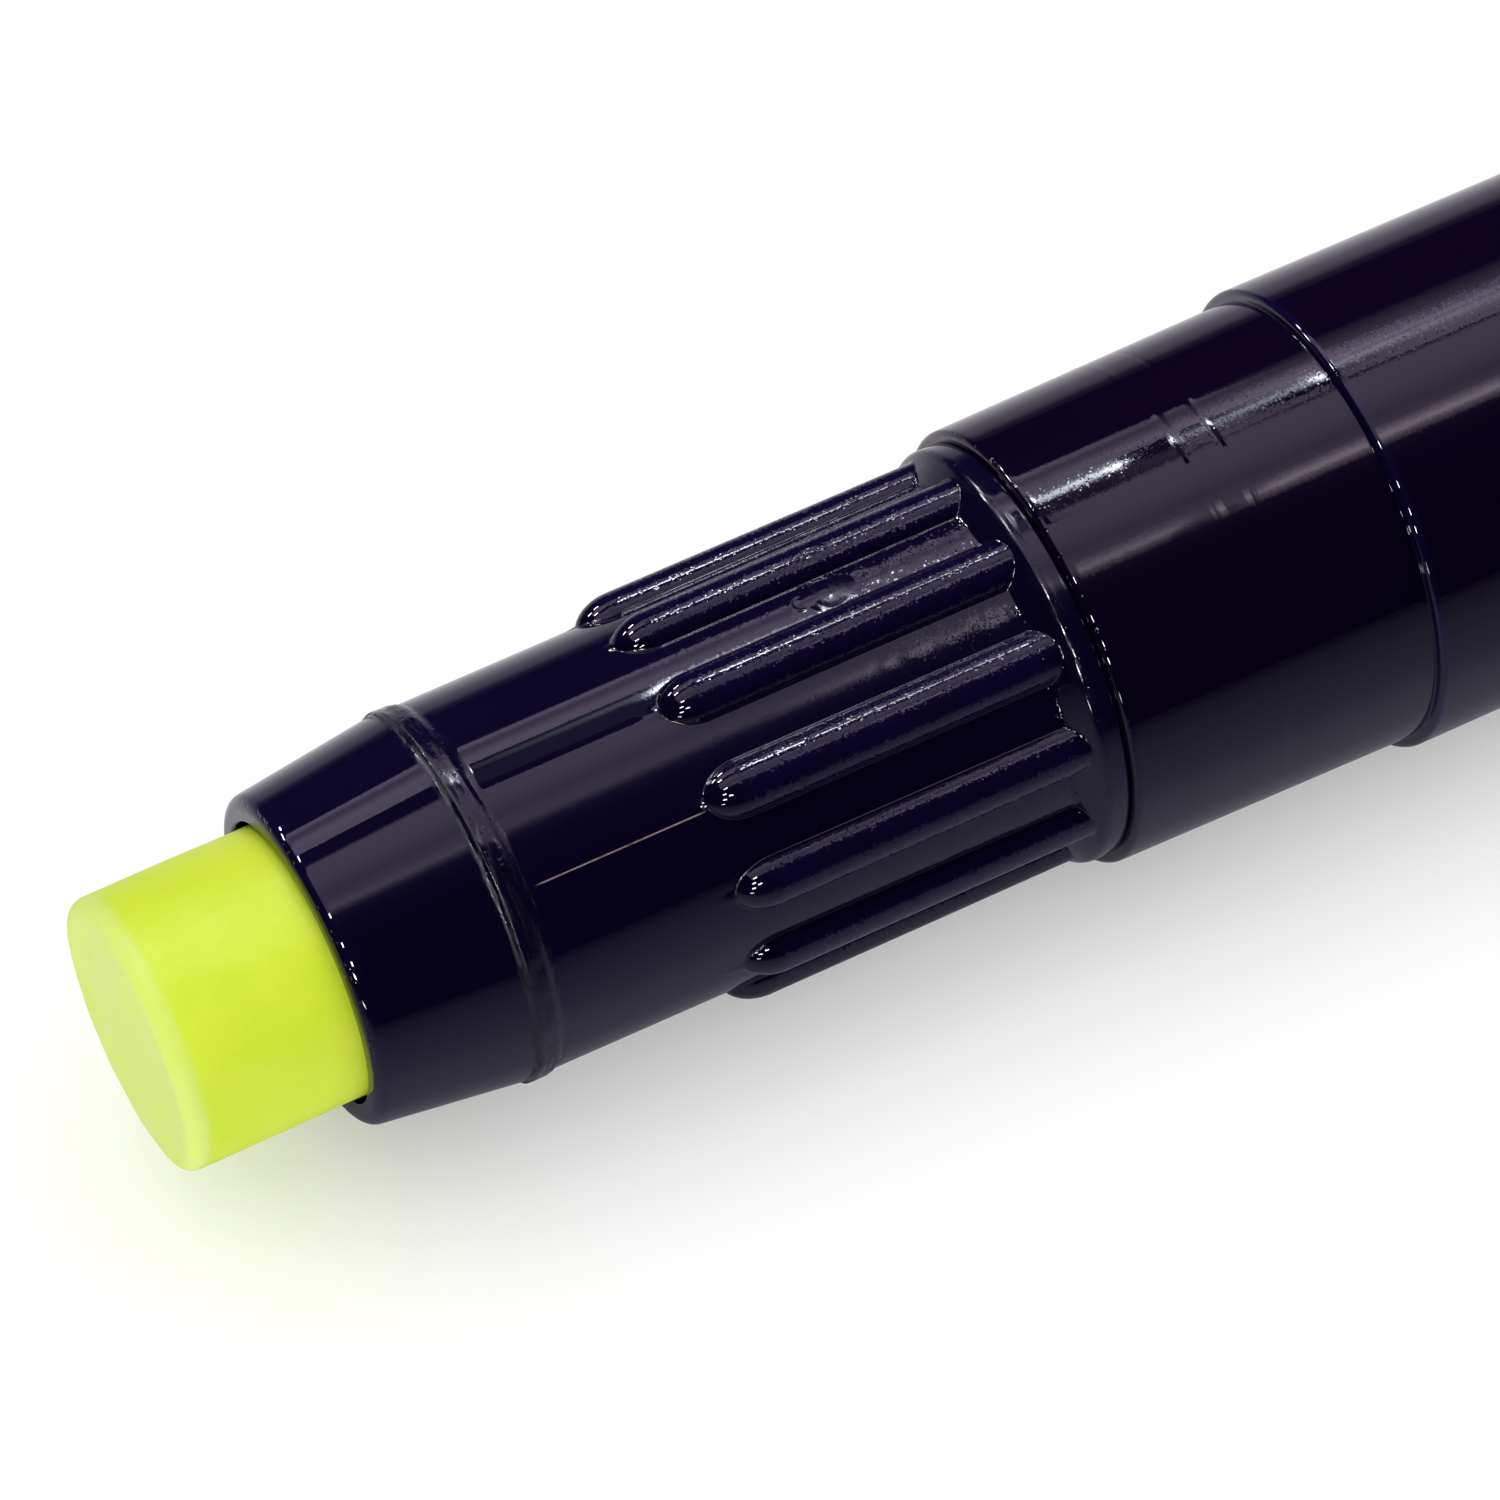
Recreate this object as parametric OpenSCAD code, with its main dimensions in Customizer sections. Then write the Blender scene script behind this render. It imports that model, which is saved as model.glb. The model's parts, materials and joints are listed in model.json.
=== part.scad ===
// Twist-up fabric marker: a solid marking stick is fed out of a ribbed nose by a knob at the rear.
// The marker lies along X with its tip towards -X, and rests on the plane z = 0.
// Lengths along the marker are called s: they start at the mouth of the nose and grow to the rear.

/* [Marking stick] */
// Diameter of the stick
core_d = 7; // [5:0.1:9]
// Length of a new stick
core_len = 66; // [58:0.5:70]
// Stick standing out of the nose at rest
core_out = 4.5; // [1:0.1:7]
// Rounding of the stick's marking edge
core_edge_r = 0.42; // [0.2:0.02:1.2]
// Depth that the stick can be drawn back behind the mouth
core_hide = 0.6; // [0.2:0.1:1.5]

/* [Nose] */
// Clearance between the stick and the mouth
mouth_gap = 0.13; // [0.05:0.01:0.3]
// Length of the close bore behind the mouth
mouth_land = 3; // [1.5:0.1:6]
// Extra radius of the bore behind that land
bore_relief = 0.3; // [0.1:0.05:0.4]
// Wall of the nose at the lip
lip_wall = 0.6; // [0.5:0.05:1]
// Rounding of the lip
lip_r = 0.22; // [0.1:0.02:0.24]
// Length of the tapered tip
cone_len = 3.9; // [2:0.1:6]
// Gain in radius along the tapered tip
cone_rise = 0.5; // [0.2:0.05:1]
// Width of the raised bead behind the taper
bead_w = 0.74; // [0.4:0.02:1.2]
// Height of the bead above the wall behind it
bead_h = 0.1; // [0.04:0.01:0.3]
// Plain wall between the bead and the ends of the ribs
plain_len = 4.6; // [2:0.1:8]
// Gain in radius from the bead to the collar, the mould's draft
nose_draft = 0.06; // [0.02:0.01:0.2]

/* [Nose ribs and collar] */
// Number of ribs round the nose
rib_count = 12; // [8:1:14]
// Height of a rib above the wall
rib_h = 0.45; // [0.2:0.05:0.7]
// Radius of a rib's round section
rib_r = 0.78; // [0.7:0.02:1]
// Length of a rib, from its round end to the collar
rib_len = 9.2; // [5:0.1:14]
// Turn of the ribs about the axis, from the underside
rib_turn = 6.8; // [0:0.1:30]
// Height of the collar above the wall
collar_h = 0.65; // [0.4:0.05:1]
// Length of the collar's sloping front
collar_ramp = 0.6; // [0.3:0.05:1.2]
// Length of the collar's land
collar_land = 0.6; // [0.4:0.05:1.5]
// Length of the nose's spigot inside the barrel
spigot_len = 11; // [6:0.5:14]
// Height of the ring that snaps the spigot into the barrel
snap_h = 0.15; // [0.05:0.01:0.25]
// Width of that ring at its foot
snap_w = 1.2; // [0.8:0.1:2]

/* [Barrel] */
// Width of the barrel's front face outside the collar, below the cap seat
shoulder_w = 0.35; // [0.2:0.05:0.6]
// Length of the front section that takes the cap
seat_len = 8.3; // [6:0.1:14]
// Length of the lead-in at the front of that section
lead_len = 1.8; // [1:0.1:3]
// Drop in radius at the start of the lead-in
lead_h = 0.08; // [0.02:0.01:0.2]
// Step up from the front section to the body
step_h = 0.31; // [0.15:0.01:0.6]
// Length of the step's slope
step_run = 0.42; // [0.2:0.02:0.8]
// Rounding of the step's edge and of its foot
step_r = 0.15; // [0.06:0.01:0.25]
// Full length of the barrel
barrel_len = 94; // [88:1:110]
// Edge break on moulded rims
edge = 0.1; // [0.04:0.01:0.2]

/* [Feed] */
// Depth of the cup that grips the stick
cup_depth = 8; // [5:0.5:10]
// Wall of that cup
cup_wall = 0.6; // [0.5:0.05:0.8]
// Thickness of the cup's floor
cup_floor = 1.2; // [0.8:0.1:2]
// Number of jaws round the cup
jaw_count = 4; // [3:1:6]
// Width of the slits between the jaws
jaw_slit = 0.8; // [0.4:0.1:1.2]
// Length of unslit wall at the foot of the jaws
jaw_root = 2; // [1:0.5:3]
// Length of the stem by which the cup plugs into the push tube
stem_len = 4; // [2:0.5:6]
// Wall of the push tube
tube_wall = 0.8; // [0.6:0.05:1]
// Length of the nut at the rear of the push tube
nut_len = 8; // [5:0.5:10]
// Length of the sliding ring round the nut
slide_len = 5; // [3:0.5:5]
// Width of the lugs that stop the push tube from turning
lug_w = 2; // [1.2:0.1:2.6]
// Length of those lugs
lug_len = 3; // [1.5:0.5:3]
// Wall of the slotted guide tube
guide_wall = 0.55; // [0.45:0.05:0.7]
// Outer diameter of the feed screw
screw_d = 4.4; // [3.6:0.1:4.8]
// Diameter of the screw's journal in the bush
journal_d = 3.6; // [3:0.1:3.8]
// Width across the flats of the screw's drive
drive_w = 3; // [2.4:0.1:3.2]
// Length of the drive inside the knob
drive_len = 7; // [4:0.5:8]
// Diameter of the screw's thrust flange
flange_d = 6.6; // [5.6:0.1:7.4]
// Thickness of that flange
flange_t = 1.2; // [0.8:0.1:2]
// Length of the rear bush
bush_len = 7; // [4:0.5:9]

/* [Knob] */
// Length of the knob outside the barrel
knob_len = 14; // [11:0.5:20]
// Number of ribs round the knob
knob_ribs = 12; // [10:1:14]
// Radius of a knob rib's round section
knob_rib_r = 0.8; // [0.65:0.05:0.95]
// Height of a knob rib above the knob's wall
knob_rib_h = 0.45; // [0.25:0.05:0.6]
// Length of the plain land at each end of the knob
knob_land = 1.6; // [1:0.1:2.5]
// Rounding of the knob's rear rim
knob_edge_r = 0.6; // [0.3:0.05:0.8]
// Length of the knob's spigot inside the barrel
knob_spigot = 4; // [3:0.5:6]
// Thickness of the drag ring that holds the knob's setting
ring_t = 0.9; // [0.7:0.05:1.1]
// Thickness of the knob between its socket and the hollow behind it
knob_floor = 1.5; // [1:0.1:2]
// Width of the knob's flat rear rim
rim_w = 1.1; // [0.8:0.1:1.4]
// Thickness of the end plug
plug_t = 1.4; // [1:0.1:2]
// Depth of the end plug below the knob's rim
plug_sink = 0.3; // [0.1:0.05:0.6]
// Width of the ledge that the end plug sits on
plug_ledge = 0.5; // [0.3:0.05:0.8]
// Length of the skirt that holds the end plug in the knob
skirt_len = 1.6; // [0.8:0.1:2]
// Wall of that skirt
skirt_wall = 0.8; // [0.6:0.05:1]

/* [Clearances] */
// Fixed fit of a piece in its seat
seat_fit = 0.03; // [0.01:0.01:0.06]
// Sliding fit of the carriage in the guide tube
slide_fit = 0.08; // [0.05:0.01:0.1]
// Running fit of the screw in its nut and bush
run_fit = 0.05; // [0.02:0.01:0.1]
// End play between pieces that turn against each other
end_play = 0.15; // [0.1:0.01:0.3]
// Open space round pieces that don't touch
free_gap = 0.3; // [0.2:0.05:0.4]
// Visible gap between the barrel and the knob
knob_gap = 0.25; // [0.15:0.05:0.4]

/* [Hidden] */
$fn = 96;
eps = 0.01;
ARC_STEPS = 6;

// Radii of the nose, from the stick outwards
core_r = core_d / 2;
mouth_r = core_r + mouth_gap;
relief_r = mouth_r + bore_relief;
tip_r = mouth_r + lip_wall;
wall_r = tip_r + cone_rise;
root_r = wall_r + nose_draft;
collar_r = root_r + collar_h;
rib_axis_r = root_r + rib_h - rib_r;

// Radii of the barrel and reach of its step
seat_r = collar_r + shoulder_w;
body_r = seat_r + step_h;
step_lean = atan(step_h / step_run);
step_reach = step_run / 2 + step_r * tan(step_lean / 2);

// Radii of the feed, from the stick outwards
cup_bore_r = core_r + seat_fit;
cup_r = cup_bore_r + cup_wall;
guide_bore_r = cup_r + slide_fit;
guide_r = guide_bore_r + guide_wall;
barrel_bore_r = guide_r + seat_fit;
spigot_r = barrel_bore_r - seat_fit;
screw_r = screw_d / 2;
journal_r = journal_d / 2;
drive_r = drive_w / 2 / cos(30);
flange_r = flange_d / 2;
nut_bore_r = screw_r + run_fit;
tube_bore_r = screw_r + free_gap;
tube_r = tube_bore_r + tube_wall;
stem_r = tube_bore_r - seat_fit;
slot_w = lug_w + 2 * slide_fit;
lug_r = guide_r - slide_fit;

// Stations along the nose and the barrel
bead_s = cone_len;
plain_s = bead_s + bead_w;
rib_s = plain_s + plain_len;
collar_s = rib_s + rib_len;
land_s = collar_s + collar_ramp;
nose_s = land_s + collar_land;
spigot_s = nose_s + spigot_len;
snap_s = nose_s + spigot_len / 2;
step_s = nose_s + seat_len;
barrel_s = nose_s + barrel_len;

// Stations of the knob and of the bush in front of it
knob_s = barrel_s + knob_gap;
knob_end = knob_s + knob_len;
knob_nose_s = knob_s - knob_spigot;
bush_end = knob_nose_s - end_play;
bush_s = bush_end - bush_len;
flange_s = bush_s - end_play - flange_t;

// Stations of the carriage at rest and the travel that they leave
core_end = core_len - core_out;
cup_s = core_end - cup_depth;
cup_end = core_end + cup_floor;
stem_end = cup_end + stem_len;
travel_in = core_out + core_hide;
nut_end = flange_s - travel_in - free_gap;
nut_s = nut_end - nut_len;
screw_s = stem_end + travel_in + free_gap;
nut_grip = slide_len;
travel_out = nut_end - nut_grip - screw_s;
slide_s = nut_end - slide_len;
lug_s = slide_s + (slide_len - lug_len) / 2;
slot_s = lug_s - travel_out - free_gap;
slot_end = lug_s + lug_len + travel_in + free_gap;

// Radii of the knob, whose two lowest ribs stand level with the barrel
knob_rib_axis_r = (body_r - knob_rib_r) / cos(180 / knob_ribs);
knob_wall_r = knob_rib_axis_r + knob_rib_r - knob_rib_h;
knob_spigot_r = barrel_bore_r - free_gap;
ring_r = ring_t / 2;
ring_axis_r = barrel_bore_r - run_fit - ring_r;
groove_r = ring_axis_r - ring_r - run_fit;
groove_w = ring_t + 2 * slide_fit;
groove_s = knob_nose_s + knob_spigot / 2;
drive_end = knob_nose_s + drive_len;
socket_end = drive_end + free_gap;
plug_end = knob_end - plug_sink;
plug_s = plug_end - plug_t;
plug_seat_r = knob_wall_r - knob_edge_r - rim_w;
pocket_r = plug_seat_r - plug_ledge;
pocket_s = socket_end + knob_floor;
plug_r = plug_seat_r - seat_fit;
skirt_r = pocket_r - seat_fit;
skirt_s = plug_s - skirt_len;

// Place of the mouth when the marker rests on the plane, centred along X
mouth_x = (core_out - knob_end) / 2;
axis_z = body_r;

echo(travel_in_mm = travel_in, travel_out_mm = travel_out, overall_mm = knob_end + core_out);

// Points of a round corner, from one angle to another
function arc(center, r, a0, a1) = [
    for (i = [0:ARC_STEPS])
        let (a = a0 + (a1 - a0) * i / ARC_STEPS) center + r * [cos(a), sin(a)]
];

// Lays a piece drawn along s, as local z, on the plane
module lay() translate([mouth_x, 0, axis_z]) rotate([0, 90, 0]) children();

// Solid of revolution from an outline of [radius, s] points
module lathe(outline) rotate_extrude() polygon(outline);

// Hole along the axis
module bore(r, from, to) translate([0, 0, from]) cylinder(r = r, h = to - from);

// Ring that snaps the nose into the barrel, or the groove that takes it
module snap(r, foot_r) lathe([
    [foot_r, snap_s - snap_w / 2], [r, snap_s - snap_w / 2 + r - foot_r],
    [r, snap_s + snap_w / 2 - r + foot_r], [foot_r, snap_s + snap_w / 2]
]);

// Ring of copies round the axis
module around(count, turn = 0) for (i = [0:count - 1]) rotate([0, 0, turn + 360 / count * i]) children();

// Rounded rib lying along the axis, with a ball at each end that is asked for
module rib(r, axis_r, from, to, front_ball = true, rear_ball = true) translate([axis_r, 0, 0]) {
    start = front_ball ? from + r : from;
    stop = rear_ball ? to - r : to;
    translate([0, 0, start]) cylinder(r = r, h = stop - start);
    if (front_ball) translate([0, 0, start]) sphere(r);
    if (rear_ball) translate([0, 0, stop]) sphere(r);
}

// Solid marking stick with a rounded writing edge
module marker_core() color([0.82, 0.91, 0.22]) lay() lathe(concat(
    [[0, core_end], [0, -core_out]],
    arc([core_r - core_edge_r, core_edge_r - core_out], core_edge_r, -90, 0),
    [[core_r, core_end]]
));

// Cup that grips the stick with four jaws, on a stem that plugs into the push tube
module core_cup() color([0.90, 0.90, 0.86]) lay() difference() {
    lathe([
        [0, cup_s], [cup_r - edge, cup_s], [cup_r, cup_s + edge], [cup_r, cup_end],
        [stem_r, cup_end], [stem_r, stem_end - edge], [stem_r - edge, stem_end], [0, stem_end]
    ]);
    bore(cup_bore_r, cup_s - eps, core_end);
    around(jaw_count, 180 / jaw_count) translate([0, -jaw_slit / 2, cup_s - eps])
        cube([cup_r + eps, jaw_slit, cup_depth - jaw_root + eps]);
}

// Hollow push tube with the nut at its rear, a sliding ring and two lugs
module push_tube() color([0.86, 0.87, 0.88]) lay() difference() {
    union() {
        lathe([
            [0, cup_end], [tube_r, cup_end], [tube_r, slide_s - edge], [cup_r, slide_s],
            [cup_r, nut_end - edge], [cup_r - edge, nut_end], [0, nut_end]
        ]);
        around(2, 90) translate([0, -lug_w / 2, lug_s]) cube([lug_r, lug_w, lug_len]);
    }
    bore(tube_bore_r, cup_end - eps, nut_s);
    bore(nut_bore_r, nut_s - eps, nut_end + eps);
}

// Guide tube between the nose and the rear bush, with a slot for each lug
module guide_tube() color([0.78, 0.79, 0.82]) lay() difference() {
    lathe([[guide_bore_r, spigot_s], [guide_r, spigot_s], [guide_r, bush_s], [guide_bore_r, bush_s]]);
    around(2, 90) translate([0, -slot_w / 2, slot_s]) cube([guide_r + eps, slot_w, slot_end - slot_s]);
}

// Feed screw with its thrust flange, journal and hexagonal drive
module feed_screw() color([0.88, 0.88, 0.84]) lay() {
    lathe([
        [0, screw_s], [screw_r - free_gap, screw_s], [screw_r, screw_s + free_gap], [screw_r, flange_s],
        [flange_r, flange_s], [flange_r, flange_s + flange_t], [journal_r, flange_s + flange_t],
        [journal_r, bush_end], [0, bush_end]
    ]);
    translate([0, 0, bush_end - edge]) cylinder(r = drive_r, h = drive_end - bush_end + edge, $fn = 6);
}

// Bush that carries the screw's journal in the rear of the barrel
module rear_bush() color([0.70, 0.71, 0.73]) lay() difference() {
    lathe([
        [0, bush_s], [spigot_r, bush_s], [spigot_r, bush_end - edge],
        [spigot_r - edge, bush_end], [0, bush_end]
    ]);
    bore(journal_r + run_fit, bush_s - eps, bush_end + eps);
}

// Nose with its rounded lip, tapered tip, bead, ribs, collar and spigot
module nose_cone() color([0.13, 0.09, 0.30]) lay() difference() {
    union() {
        lathe(concat(
            [[0, 0]],
            arc([mouth_r + lip_r, lip_r], lip_r, 180, 270),
            arc([tip_r - lip_r, lip_r], lip_r, 270, 360),
            [[wall_r, bead_s], [wall_r + bead_h, bead_s], [wall_r + bead_h, plain_s - bead_h]],
            [[wall_r, plain_s], [root_r, collar_s], [collar_r - edge, land_s], [collar_r, land_s + edge]],
            [[collar_r, nose_s - edge], [collar_r - edge, nose_s], [spigot_r, nose_s]],
            [[spigot_r, spigot_s - edge], [spigot_r - edge, spigot_s], [0, spigot_s]]
        ));
        around(rib_count, rib_turn) rib(rib_r, rib_axis_r, rib_s, land_s, rear_ball = false);
        snap(spigot_r + snap_h, spigot_r - eps);
    }
    bore(mouth_r, -eps, mouth_land + eps);
    bore(relief_r, mouth_land, spigot_s + eps);
}

// Barrel with the cap's seat in front and the body behind a rounded, sloping step
module barrel() color([0.11, 0.07, 0.26]) lay() difference() {
    lathe(concat(
        [[0, nose_s], [seat_r - lead_h - edge, nose_s], [seat_r - lead_h, nose_s + edge]],
        [[seat_r, nose_s + lead_len]],
        arc([seat_r + step_r, step_s - step_reach], step_r, 180, 180 - step_lean),
        arc([body_r - step_r, step_s + step_reach], step_r, 360 - step_lean, 360),
        [[body_r, barrel_s - edge], [body_r - edge, barrel_s], [0, barrel_s]]
    ));
    bore(barrel_bore_r, nose_s - eps, barrel_s + eps);
    snap(barrel_bore_r + snap_h, barrel_bore_r - eps);
}

// Ribbed knob with a spigot in the barrel, a hexagonal socket and a pocket for the end plug
module twist_knob() color([0.12, 0.08, 0.28]) lay() difference() {
    union() {
        lathe(concat(
            [[0, knob_nose_s], [knob_spigot_r - edge, knob_nose_s], [knob_spigot_r, knob_nose_s + edge]],
            [[knob_spigot_r, groove_s - groove_w / 2], [groove_r, groove_s - groove_w / 2]],
            [[groove_r, groove_s + groove_w / 2], [knob_spigot_r, groove_s + groove_w / 2]],
            [[knob_spigot_r, knob_s], [knob_wall_r - edge, knob_s], [knob_wall_r, knob_s + edge]],
            arc([knob_wall_r - knob_edge_r, knob_end - knob_edge_r], knob_edge_r, 0, 90),
            [[0, knob_end]]
        ));
        around(knob_ribs, 180 / knob_ribs)
            rib(knob_rib_r, knob_rib_axis_r, knob_s + knob_land, knob_end - knob_land);
    }
    translate([0, 0, knob_nose_s - eps])
        cylinder(r = drive_r + seat_fit, h = socket_end - knob_nose_s + eps, $fn = 6);
    bore(plug_seat_r, plug_s, knob_end + eps);
    bore(pocket_r, pocket_s, plug_s + eps);
}

// Elastic ring in the knob's groove, which rubs on the barrel
module drag_ring() color([0.06, 0.06, 0.07]) lay()
    translate([0, 0, groove_s]) rotate_extrude() translate([ring_axis_r, 0]) circle(ring_r);

// Plug that closes the knob's end, with a skirt in the pocket
module end_plug() color([0.11, 0.07, 0.26]) lay() lathe([
    [0, plug_s], [skirt_r - skirt_wall, plug_s], [skirt_r - skirt_wall, skirt_s], [skirt_r, skirt_s],
    [skirt_r, plug_s], [plug_r, plug_s], [plug_r, plug_end - edge], [plug_r - edge, plug_end], [0, plug_end]
]);

marker_core();
core_cup();
push_tube();
guide_tube();
feed_screw();
rear_bush();
nose_cone();
barrel();
twist_knob();
drag_ring();
end_plug();
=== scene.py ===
"""Looks of a twist-up fabric marker: ribbed nose, round barrel, marking stick, screw feed and knob.

Lengths are in millimetres until they become vertices. A point on the marker has a station s, which starts
at the mouth of the nose and grows to the rear, a radius r, and an angle that starts at the top and grows
towards -Y. Lights and the camera are placed in metres.
"""
import json
import math

import bpy
import numpy as np
from mathutils import Matrix, Vector


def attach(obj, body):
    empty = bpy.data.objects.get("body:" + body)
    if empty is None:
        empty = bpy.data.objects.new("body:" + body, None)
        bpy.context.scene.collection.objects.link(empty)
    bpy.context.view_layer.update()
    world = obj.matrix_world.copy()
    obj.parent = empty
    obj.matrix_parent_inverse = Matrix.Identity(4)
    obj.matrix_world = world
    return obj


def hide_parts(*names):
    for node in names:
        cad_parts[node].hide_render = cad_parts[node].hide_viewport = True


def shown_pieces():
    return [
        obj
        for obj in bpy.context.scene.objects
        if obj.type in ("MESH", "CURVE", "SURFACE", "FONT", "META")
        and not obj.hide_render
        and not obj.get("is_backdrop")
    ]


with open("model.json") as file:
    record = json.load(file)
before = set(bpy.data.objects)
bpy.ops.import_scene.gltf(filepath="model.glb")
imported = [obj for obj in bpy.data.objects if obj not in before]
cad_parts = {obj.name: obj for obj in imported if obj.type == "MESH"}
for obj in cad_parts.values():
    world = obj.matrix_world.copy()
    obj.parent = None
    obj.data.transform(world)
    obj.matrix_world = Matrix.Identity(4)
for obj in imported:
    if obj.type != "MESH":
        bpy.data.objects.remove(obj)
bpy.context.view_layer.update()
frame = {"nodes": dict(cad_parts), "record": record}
NODES = frame["nodes"]

MM = 0.001
MOUTH_X, AXIS_Z = -61.695, 6.10
AHEAD = -9.0  # a station before all of the marker

# Marking stick; a lobe is an angle in degrees at which the worn end stands out, and how far
CORE_R, CORE_OUT, CORE_END, CORE_EDGE = 3.5, 4.5, 61.5, 0.42
WORN_LOBES, LOBE_WIDTH = ((285, 0.10), (120, 0.05)), 0.5

# Nose
MOUTH_R, RELIEF_R, TIP_R, WALL_R, ROOT_R = 3.63, 3.93, 4.23, 4.73, 4.79
MOUTH_LAND, BEAD_S, BEAD_END, BEAD_H = 3.0, 3.90, 4.64, 0.10
RIB_S, RIB_R, RIB_H, RIB_BALL, RIB_COUNT, RIB_TURN = 9.36, 0.78, 0.45, 1.1, 12, 6.8
GATE_S, GATE_ARC, GATE_LEN, GATE_WIDTH, GATE_H, SWIRL_H = 14.6, -0.66, 0.75, 0.52, 0.04, 0.005
GATE_RINGS = ((-0.72, -0.02, 0.24), (0.05, -0.72, 0.30), (0.1, -0.74, 0.44), (0.1, -0.76, 0.58))
GATE_RING_H, GATE_RING_WIDTH = 0.008, 0.035
HAIRLINE_ANGLE = 38.8
COLLAR_S, LAND_S, NOSE_S, COLLAR_R = 18.44, 19.04, 19.64, 5.44
SPIGOT_R, SPIGOT_END, SNAP_S, SNAP_W, SNAP_H = 4.76, 30.64, 25.14, 1.2, 0.15

# Barrel
SEAT_R, BODY_R, BORE_R, STEP_S, BARREL_END = 5.79, 6.10, 4.79, 27.94, 113.64
LEAD_H, SEAT_RISE, STEP_W = 0.08, 0.043, 0.04
DRAG_S, DRAG_DEPTH, DRAG_WIDTH = 24.65, 0.008, 0.045
RIDGE_S, RIDGE_H, RIDGE_WIDTH = 23.75, 0.004, 0.08

# Feed screw
SCREW_S, SCREW_R, FLANGE_S, FLANGE_R, FLANGE_T = 72.1, 2.2, 101.39, 3.3, 1.2
JOURNAL_R, BUSH_END, DRIVE_END, DRIVE_W = 1.8, 109.74, 116.89, 3.0
THREAD_STARTS, THREAD_DEPTH = 3, 0.38

# Knob and end plug
KNOB_NOSE, KNOB_S, KNOB_END = 109.89, 113.89, 127.89
KNOB_SPIGOT_R, KNOB_WALL_R, KNOB_EDGE, KNOB_LAND = 4.49, 5.837, 0.6, 1.6
KNOB_RIB_R, KNOB_RIB_AXIS, KNOB_RIBS, KNOB_TURN = 0.8, 5.487, 12, 15.0
GROOVE_S, GROOVE_W, GROOVE_R = 111.89, 1.06, 3.79
SOCKET_END, POCKET_S, POCKET_R, SEAT_HOLE_R = 117.19, 118.69, 3.637, 4.137
PLUG_S, PLUG_END, PLUG_R, SKIRT_S, SKIRT_R, SKIRT_WALL = 126.19, 127.59, 4.107, 124.59, 3.607, 0.8


# Outlines

def rounded(corners, closed=True, turn_step=9.0):
    """Outline of (s, r) points from (s, r, rounding) corners."""
    points = []
    count = len(corners)
    for i, (s, r, radius) in enumerate(corners):
        here = np.array([s, r], float)
        ends = not closed and i in (0, count - 1)
        if ends or radius <= 0:
            points.append(here)
            continue
        before = np.array(corners[i - 1][:2], float) - here
        after = np.array(corners[(i + 1) % count][:2], float) - here
        len_b, len_a = np.linalg.norm(before), np.linalg.norm(after)
        before, after = before / len_b, after / len_a
        half = math.acos(float(np.clip(before @ after, -1, 1))) / 2
        reach = min(radius / math.tan(half), 0.49 * len_b, 0.49 * len_a)
        size = reach * math.tan(half)
        middle = (before + after) / np.linalg.norm(before + after)
        center = here + middle * size / math.sin(half)
        a0 = math.atan2(*(here + before * reach - center)[::-1])
        a1 = math.atan2(*(here + after * reach - center)[::-1])
        sweep = (a1 - a0 + math.pi) % (2 * math.pi) - math.pi
        steps = max(3, int(abs(math.degrees(sweep)) / turn_step) + 1)
        for a in a0 + sweep * np.linspace(0, 1, steps):
            points.append(center + size * np.array([math.cos(a), math.sin(a)]))
    return np.array(points)


def divided(points, step, closed=True):
    """The outline with its long stretches cut; step(s, r) is the longest stretch allowed there."""
    out = []
    count = len(points)
    for i in range(count if closed else count - 1):
        a, b = points[i], points[(i + 1) % count]
        length = np.linalg.norm(b - a)
        cuts = [0.0]
        while cuts[-1] < 1 and length > 0:
            cuts.append(cuts[-1] + step(*(a + (b - a) * cuts[-1])) / length)
        out += [a + (b - a) * cut / max(cuts[-1], 1) for cut in cuts[:max(1, len(cuts) - 1)]]
    return np.array(out if closed else out + [points[-1]])


# Fields

def lattice(x, y, seed):
    """Smooth noise from -1 to 1, the same on every run."""
    table = np.random.RandomState(seed).uniform(-1, 1, (64, 64))
    xi, yi = np.floor(x).astype(int), np.floor(y).astype(int)
    u, v = x - xi, y - yi
    u, v = u * u * (3 - 2 * u), v * v * (3 - 2 * v)

    def get(i, j):
        return table[i % 64, j % 64]

    low = get(xi, yi) * (1 - u) + get(xi + 1, yi) * u
    high = get(xi, yi + 1) * (1 - u) + get(xi + 1, yi + 1) * u
    return low * (1 - v) + high * v


def smooth_max(a, b, k):
    """The larger of two heights, with a fillet of about k between them."""
    h = np.maximum(k - np.abs(a - b), 0) / k
    return np.maximum(a, b) + h * h * k / 4


def band(x, low, high, soft):
    """1 between low and high, falling to 0 over soft on each side."""
    rise = np.clip((x - low) / soft + 1, 0, 1)
    fall = np.clip((high - x) / soft + 1, 0, 1)
    return rise * rise * (3 - 2 * rise) * fall * fall * (3 - 2 * fall)


def off_center(angle, count, turn):
    """Angle in radians from the nearest of evenly spaced lines; turn is the first line's, in degrees."""
    pitch = 2 * math.pi / count
    return (angle - math.radians(turn) + pitch / 2) % pitch - pitch / 2


def rib_height(s, angle, count, turn, axis_r, radius, ball, start, stop=None):
    """Radius of round ribs along the marker, with an end of length ball at the start and at any stop."""
    across = (axis_r + radius * 0.6) * np.sin(off_center(angle, count, turn))
    along = np.minimum(s - start - ball, 0)
    if stop is not None:
        along = along + np.maximum(s - stop + ball, 0)
    along = along * radius / ball
    inside = radius ** 2 - across ** 2 - along ** 2
    return axis_r + np.sign(inside) * np.sqrt(np.abs(inside))


def hexagon(angle, width):
    """Radius of a hexagon that has a corner at the underside."""
    return width / 2 / np.cos(off_center(angle, 6, 30.0))


def turns(columns):
    """Even angles round the axis."""
    return np.linspace(0, 2 * math.pi, columns, endpoint=False)


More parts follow.
